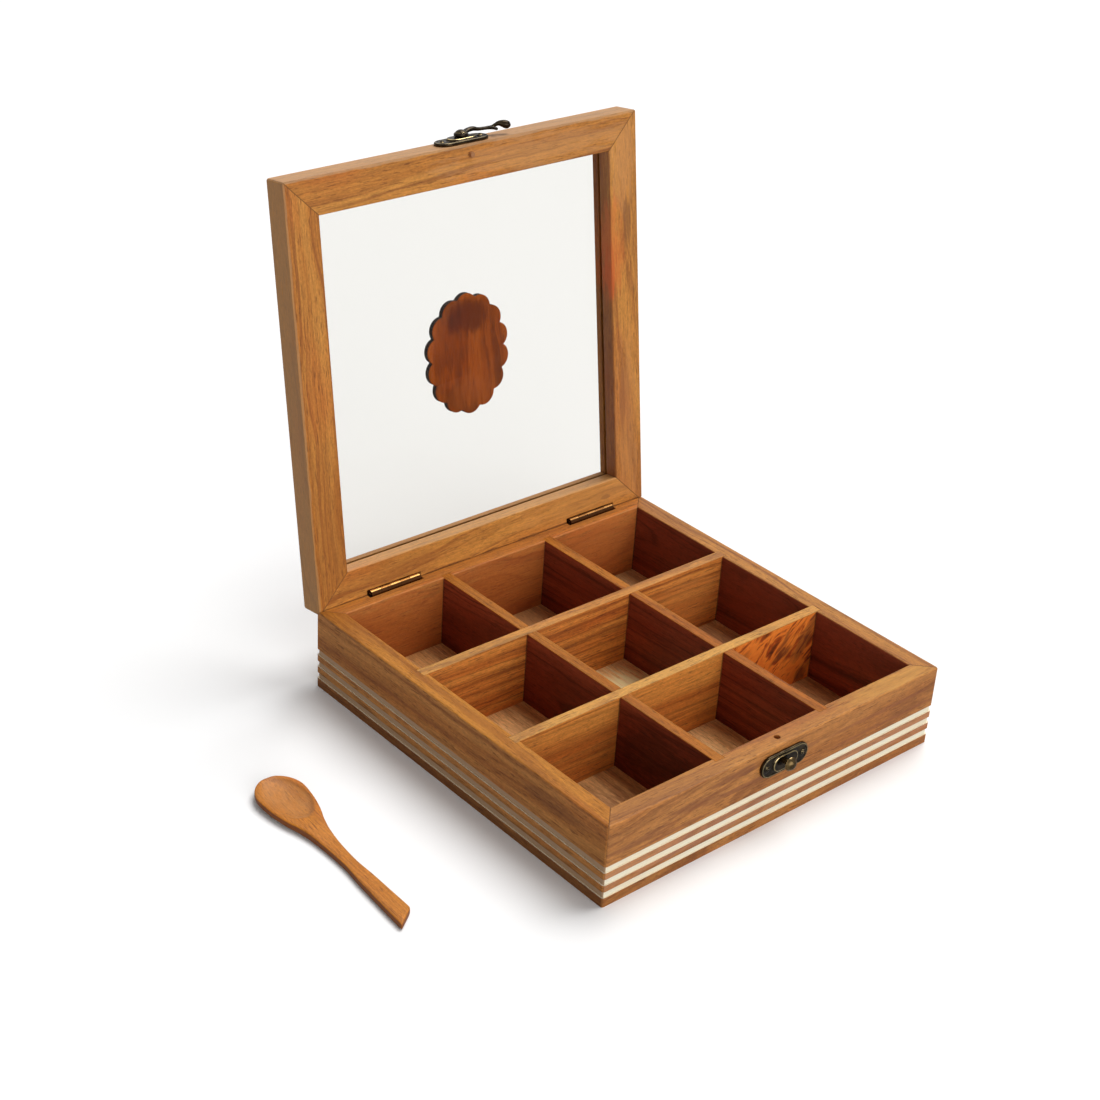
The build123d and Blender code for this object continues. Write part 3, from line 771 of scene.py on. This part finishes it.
def petal(mesh, look, turn):
    columns, rows = look["petalGrid"]
    grid = bmesh.ops.create_grid(mesh, x_segments=columns, y_segments=rows, size=1.0)
    faces = allOf("link_faces", grid["verts"])
    top = set(onlyVerts(bmesh.ops.extrude_face_region(mesh, geom=faces)["geom"]))
    toward = Vector((look["halfWidth"] * math.cos(turn), look["halfHeight"] * math.sin(turn)))
    out = toward.normalized()
    for vertex in [*grid["verts"], *top]:
        u, v, _ = vertex.co
        width = look["petalWidth"] * max(1 - u * u, 0.0) ** 0.7
        level = look["petalBase"]
        if vertex in top:
            dome = max(1 - u ** 4, 0.0) * math.sqrt(max(1 - v * v, 0.0))
            groove = look["grooveDepth"] * math.exp(-(v / look["grooveWidth"]) ** 2) * (1 - u * u)
            level += (look["petalTop"] - look["petalBase"]) * dome - groove
        middle = toward * (look["petalPlace"] + u * look["petalLength"])
        vertex.co = (middle.x - v * width * out.y, middle.y + v * width * out.x, level)


def makeMedallion(look):
    mesh = bmesh.new()
    tube(mesh, look["sides"], [ringAt(look, inset, level) for inset, level in look["rings"]])
    bmesh.ops.recalc_face_normals(mesh, faces=mesh.faces)
    for face in mesh.faces:
        middle = face.calc_center_median()
        if abs(face.normal.z) < 0.5 and face.normal.xy.dot(middle.xy) > 0:
            face.material_index = 1
    for index in range(look["lobes"]):
        petal(mesh, look, math.tau / look["lobes"] * (index + 0.5))
    stretch = look["halfHeight"] / look["halfWidth"]
    tube(mesh, look["bossSides"], [lambda angle, size=size, level=level:
                                   Vector((size * math.cos(angle), size * stretch * math.sin(angle), level))
                                   for size, level in look["boss"]])
    for index in range(look["lobes"]):
        turn = math.tau / look["lobes"] * index
        bead = bmesh.ops.create_icosphere(mesh, subdivisions=2, radius=look["beadRadius"])
        bmesh.ops.translate(mesh, verts=bead["verts"],
                            vec=(look["beadPlace"] * look["halfWidth"] * math.cos(turn),
                                 look["beadPlace"] * look["halfHeight"] * math.sin(turn), look["beadLevel"]))
    smoothFaces(mesh)
    # The sunk field is darker than what stands up from it.
    settings = board("y", medallionWood, (10, -30), (0.0, 0.0), 4100, shut=True, ringWidth=4.0,
                     lacquer=dict(coat=0.0, gloss=0.12),
                     stains=[((0, 0, 50.6), (400, 400, 0.75), (52, 22, 10), 0.6),
                             ((0, -18, 49.3), (16, 10, 0.6), (74, 22, 5), 0.75),
                             ((0, 18, 49.3), (16, 10, 0.6), (182, 98, 48), 0.4)])
    seat = lidOpening @ Matrix.Translation((0, 0, look["level"] * mm))
    finishPiece("medallion_carving", mesh, seat, "lid", ["medallion"],
                [boardFinish("medallion", settings), charredFinish()])


def charredFinish():
    finish = Finish("charred_edge_finish")
    place = finish.mapped(patternSeat(True))
    soot = finish.noise(place, (0.9, 0.9, 3.0), 3.0, 0.6)
    tone = finish.blend(finish.step(soot, 0.42, 0.7), colour(24, 18, 15), colour(64, 40, 26))
    finish.set(tone, 0.6 + soot * 0.2, finish.bump(soot, 0.00008), gloss=0.3)
    return finish.material


makeMedallion(medallionSettings)
print("medallion made")


# Fixing plates: a stadium with a bead at its rim, a sunk field and a raised middle
plateSettings = dict(halfLength=13.98, halfWidth=5.23, edge=0.55, thickness=1.5, side=0.85, beadWidth=1.1,
                     beadSlope=(-0.25, 0.35), field=1.28, raisedLength=7.5, raisedWidth=4.0,
                     raisedSlope=(-0.35, 0.55), nailPlace=10.8, nailBoss=1.7, nailSlope=0.35,
                     columns=150, rows=60)


def stadiumDepth(x, y, halfLength, halfWidth):
    return halfWidth - math.hypot(max(abs(x) - halfLength + halfWidth, 0.0), y)


def stampedPlate(name, look, raised, seat, body, node, material):
    mesh = bmesh.new()
    grid = bmesh.ops.create_grid(mesh, x_segments=look["columns"], y_segments=look["rows"], size=1.0)
    top = set(onlyVerts(bmesh.ops.extrude_face_region(mesh, geom=list(mesh.faces))["geom"]))
    for vertex in [*grid["verts"], *top]:
        u, v, _ = vertex.co
        y = look["halfWidth"] * math.sin(v * math.pi / 2)
        end = look["halfLength"] - look["halfWidth"] + math.sqrt(max(look["halfWidth"] ** 2 - y * y, 0.0))
        x = end * math.sin(u * math.pi / 2)
        level = 0.0
        if vertex in top:
            depth = stadiumDepth(x, y, look["halfLength"], look["halfWidth"])
            lip = min(depth / look["edge"], 1.0)
            arc = math.sqrt(max(1 - (1 - lip) ** 2, 0.0))
            level = look["side"] + (look["thickness"] - look["side"]) * arc
            inner, outer = look["beadSlope"]
            sunk = smoothly(depth, look["beadWidth"] + inner, look["beadWidth"] + outer)
            nail = 1 - smoothly(math.hypot(abs(x) - look["nailPlace"], y), look["nailBoss"],
                                look["nailBoss"] + look["nailSlope"])
            level -= (look["thickness"] - look["field"]) * sunk * (1 - nail)
            rise = smoothly(stadiumDepth(x, y, look["raisedLength"], look["raisedWidth"]),
                            *look["raisedSlope"])
            level += (look["thickness"] + raised - level) * rise
        vertex.co = (x, y, level)
    smoothFaces(mesh)
    finishPiece(name, mesh, seat, body, [node], [material])


stampedPlate("catch_plate_casting", plateSettings, 0.8, lidOpening @ frontSeat(catchHeight), "lid",
             "catch_plate", metalFinish("catch_plate_finish", shut=True, plate=catchHeight, **darkBrass))
stampedPlate("keeper_plate_casting", plateSettings, 0.5, frontSeat(keeperHeight), "box",
             "keeper_plate", metalFinish("keeper_plate_finish", shut=False, plate=keeperHeight, **darkBrass))


# Hook: an eye round the rivet, a slender bowed arm, a claw round the stud's neck and a ball tail.
# Stations hold a place, then half the width and half the height there.
hookSettings = dict(restAngle=-3.6, eyeMiddle=2.35, eyeHalfWidth=0.92, eyeLevel=3.275, eyeHalfHeight=0.82,
                    eyeSides=64, eyeCorners=20, eyeSquareness=0.6, sides=24, steps=8, voxel=0.13, rounds=6,
                    arm=((1.6, 0.9, 3.35, 1.6, 0.8), (3.4, 1.75, 3.7, 1.6, 0.95), (5.6, 2.35, 4.1, 1.5, 1.05),
                         (8.4, 2.8, 4.15, 1.45, 1.05), (11.2, 3.1, 3.5, 1.3, 0.85),
                         (14.2, 3.1, 3.3, 1.1, 0.79), (16.3, 2.55, 3.3, 1.0, 0.78),
                         (17.7, 1.3, 3.3, 0.92, 0.76), (18.15, -0.3, 3.3, 0.84, 0.74),
                         (18.0, -1.7, 3.3, 0.74, 0.7), (17.75, -2.5, 3.3, 0.6, 0.6),
                         (17.62, -2.95, 3.3, 0.2, 0.3)),
                    tail=((12.6, 3.1, 3.3, 0.7, 0.6), (15.0, 3.1, 3.35, 0.86, 0.7),
                          (17.0, 2.85, 3.45, 0.85, 0.7), (18.5, 2.25, 3.7, 0.85, 0.66),
                          (19.9, 1.45, 4.4, 0.95, 0.85), (21.1, 0.55, 4.95, 1.3, 1.15),
                          (22.4, -0.35, 4.8, 1.75, 1.6), (23.7, -1.0, 4.35, 2.05, 1.9),
                          (24.9, -1.5, 3.85, 1.7, 1.6), (25.7, -1.85, 3.5, 0.6, 0.6)))


def makeHook(look):
    mesh = bmesh.new()
    rod(mesh, look["sides"], look["arm"], look["steps"])
    rod(mesh, look["sides"], look["tail"], look["steps"])
    eye = list(bmesh.ops.create_circle(mesh, segments=look["eyeCorners"], radius=1.0)["verts"])
    for vertex in eye:
        x, y = (math.copysign(abs(value) ** look["eyeSquareness"], value) for value in vertex.co.xy)
        vertex.co = (look["eyeMiddle"] + look["eyeHalfWidth"] * x, 0,
                     look["eyeLevel"] + look["eyeHalfHeight"] * y)
    bmesh.ops.spin(mesh, geom=[*eye, *allOf("link_edges", eye)], cent=(0, 0, 0), axis=(0, 0, 1),
                   angle=math.tau, steps=look["eyeSides"], use_merge=True)
    bmesh.ops.remove_doubles(mesh, verts=mesh.verts, dist=0.0005)
    mesh = fused(mesh, look["voxel"], look["rounds"])
    smoothFaces(mesh)
    seat = lidOpening @ frontSeat(catchHeight) @ Matrix.Rotation(math.radians(look["restAngle"]), 4, "Z")
    finishPiece("hook_casting", mesh, seat, "catch_arm", ["hook_arm"], [lidBrassFinish])


makeHook(hookSettings)
print("catch and keeper made")


# Spoon: a round drawn out into a handle and a bowl, with its length along Y.
spoonSettings = dict(middle=(-163.9, -8.3), turn=-3.0, length=110.0, rings=120, sides=64,
                     halfWidth=((-60, 4.4), (-48, 4.35), (-25, 3.7), (-8.5, 2.9), (12.5, 4.7), (28.5, 9.4),
                                (41.5, 11.2), (56, 11.2)),
                     top=((-55, 3.5), (0, 3.4), (20, 4.3), (41, 5.0)), tipLength=13.5, tailRound=1.2,
                     squareness=0.36, bowlMiddle=38.2, bowlHalfLength=15.6, bowlHalfWidth=9.5, bowlDepth=2.9,
                     endSlant=7.0, endHalfWidth=4.4, slantLength=22.0, tipRise=1.3, bellyRise=0.9)


def makeSpoon(look):
    mesh = bmesh.new()
    half = look["length"] / 2
    widths = curvePoints(look["halfWidth"], 10)

    def section(place):
        tail, tip = place + half, half - place
        width = alongStations(widths, place)
        height = alongStations(look["top"], place)
        if tip < look["tipLength"]:
            width *= math.sqrt(max(0.0, 1 - (1 - tip / look["tipLength"]) ** 2)) ** 0.96
        shrink = min(math.sqrt(max(0.0, 1 - (1 - min(end / look["tailRound"], 1.0)) ** 2))
                     for end in (tail, tip))

        def placed(angle):
            cosine, sine = math.cos(angle), math.sin(angle)
            across = width * math.copysign(abs(cosine) ** look["squareness"], cosine)
            if tail < look["tailRound"]:
                across *= 0.82 + 0.18 * shrink
            low = (look["tipRise"] * smoothly(place, half - 22, half)
                   + look["bellyRise"] * smoothly(abs(across), 3, 11.2))
            share = 0.5 + 0.5 * math.copysign(abs(sine) ** look["squareness"], sine)
            share = 0.5 + (share - 0.5) * (0.55 + 0.45 * shrink)
            level = low + (height - low) * share
            hollow = (1 - ((place - look["bowlMiddle"]) / look["bowlHalfLength"]) ** 2
                      - (across / look["bowlHalfWidth"]) ** 2)
            if sine > 0 and hollow > 0:
                level -= look["bowlDepth"] * hollow ** 0.75
            slant = look["endSlant"] / 2 * (1 + across / look["endHalfWidth"]) * (
                1 - smoothly(tail, 0, look["slantLength"]))
            return Vector((across, place + slant, level))
        return placed

    places = [0.5 - 0.5 * math.cos(math.pi * index / look["rings"]) for index in range(look["rings"] + 1)]
    tube(mesh, look["sides"],
         [section(-half + look["length"] * min(max(place, 0.0002), 0.9995)) for place in places])
    seat = (Matrix.Translation((look["middle"][0] * mm, look["middle"][1] * mm, 0))
            @ Matrix.Rotation(math.radians(look["turn"]), 4, "Z"))
    smoothFaces(mesh)
    finishPiece("spoon_carving", mesh, seat, "spoon", ["spoon"], [spoonFinish(seat)])


# The bowl's middle, and about the squares of its half length and half width, in millimetres.
# The last two colours are painted shade: for one side of the bowl's inner rim, and for the spoon's sides.
bowlLook = dict(middle=38.2, spans=(243, 90), paleBowlPatches=colour(186, 140, 94), rim=colour(120, 74, 44),
                side=colour(122, 62, 30))


def spoonFinish(seat):
    finish = Finish("spoon_finish")
    turned = Matrix.Rotation(math.radians(-90), 4, "Z") @ seat.inverted()
    grain = finish.mapped(turned)
    look = {**grainLook, "ringWidth": 5.0, "ringShare": 0.3, "streakShare": 0.35}
    tone, height = woodColour(finish, grain, spoonWood, look, (12, -20), (0.02, 0.02))
    along, across, _ = finish.parts(grain)
    # Painted shade: the spoon's sides, which look away from the light, are darker.
    paintedSideShade = 1 - finish.step(finish.facing()[2], 0.25, 0.75)
    tone = finish.blend(paintedSideShade * 0.7, tone, bowlLook["side"])
    ahead = along - bowlLook["middle"]
    length, width = bowlLook["spans"]
    reach = (ahead * ahead / length + across * across / width) ** 0.5
    inBowl = 1 - finish.step(reach, 0.9, 1.05)
    # The bowl is paler and greyer in patches.
    paleBowlPatches = finish.noise(grain, (7, 5, 5), 3.0, 0.6)
    tone = finish.blend(inBowl * paleBowlPatches * 0.6, tone, bowlLook["paleBowlPatches"])
    # Painted shade: a darker crescent on one side of the bowl's inner rim.
    rim = finish.step(reach, 0.8, 0.95) * inBowl
    tone = finish.blend(rim * finish.step(across * -1, -6, 8) * 0.35, tone, bowlLook["rim"])
    finish.set(tone, 0.46 - height * 0.06 + inBowl * 0.08, finish.bump(height, 0.00005),
               **coatOfLacquer)
    return finish.material


makeSpoon(spoonSettings)
print("spoon made")


# Floor, white surroundings and lamps
stageSettings = dict(floorHalf=6.0, floorColour=(1.0, 1.0, 1.0), bounceColour=(0.45, 0.45, 0.45),
                     worldLight=0.14, shineLight=0.5)
lamps = {
    "key": dict(toward=(0.44, 0.04, 0.90), strength=0.76, angle=40),
    "front": dict(toward=(-0.10, -0.98, 0.12), strength=0.75, angle=60),
    "side": dict(toward=(-0.94, -0.28, 0.12), strength=0.08, angle=50),
    "behind": dict(toward=(0.34, 0.56, 0.75), strength=0.16, angle=60),
}


def makeStage(look):
    mesh = bmesh.new()
    bmesh.ops.create_grid(mesh, x_segments=1, y_segments=1, size=look["floorHalf"])
    floor = linkedMesh("floor", mesh)
    finish = Finish("floor_finish")
    finish.tree.nodes.remove(finish.surface)
    path = finish.node("LightPath", out="Is Camera Ray")
    seen = Wire(finish, path.socket.node.outputs["Is Transmission Ray"]).most(path)
    white = finish.node("BsdfDiffuse", None, {"Color": look["floorColour"]})
    grey = finish.node("BsdfDiffuse", None, {"Color": look["bounceColour"]})
    mixed = finish.node("MixShader", None, {0: seen, 1: grey, 2: white})
    finish.tree.links.new(mixed.socket, finish.output.inputs["Surface"])
    floor.data.materials.append(finish.material)


def makeWorld(look):
    # White where the camera looks, dimmer as a light, and half as bright in a shine.
    world = bpy.data.worlds.new("white_room")
    world.use_nodes = True
    bpy.context.scene.world = world
    tree = world.node_tree
    tree.nodes.clear()
    output = tree.nodes.new("ShaderNodeOutputWorld")
    path = tree.nodes.new("ShaderNodeLightPath")

    def background(strength):
        made = tree.nodes.new("ShaderNodeBackground")
        made.inputs["Color"].default_value = (1, 1, 1, 1)
        made.inputs["Strength"].default_value = strength
        return made.outputs[0]

    def mixed(share, first, second):
        made = tree.nodes.new("ShaderNodeMixShader")
        for index, socket in enumerate((share, first, second)):
            tree.links.new(socket, made.inputs[index])
        return made.outputs[0]

    shine = mixed(path.outputs["Is Glossy Ray"], background(look["worldLight"]),
                  background(look["shineLight"]))
    clear = mixed(path.outputs["Is Transmission Ray"], shine, background(1.0))
    seen = mixed(path.outputs["Is Camera Ray"], clear, background(1.0))
    tree.links.new(seen, output.inputs["Surface"])


def makeLamps():
    for name, look in lamps.items():
        data = bpy.data.lights.new(name, "SUN")
        data.energy = look["strength"] * math.pi
        data.angle = math.radians(look["angle"])
        lamp = linked(name, data)
        lamp.rotation_mode = "QUATERNION"
        lamp.rotation_quaternion = Vector(look["toward"]).to_track_quat("Z", "Y")


makeStage(stageSettings)
makeWorld(stageSettings)
makeLamps()
bpy.context.scene.view_settings.view_transform = "Standard"
print("stage set")
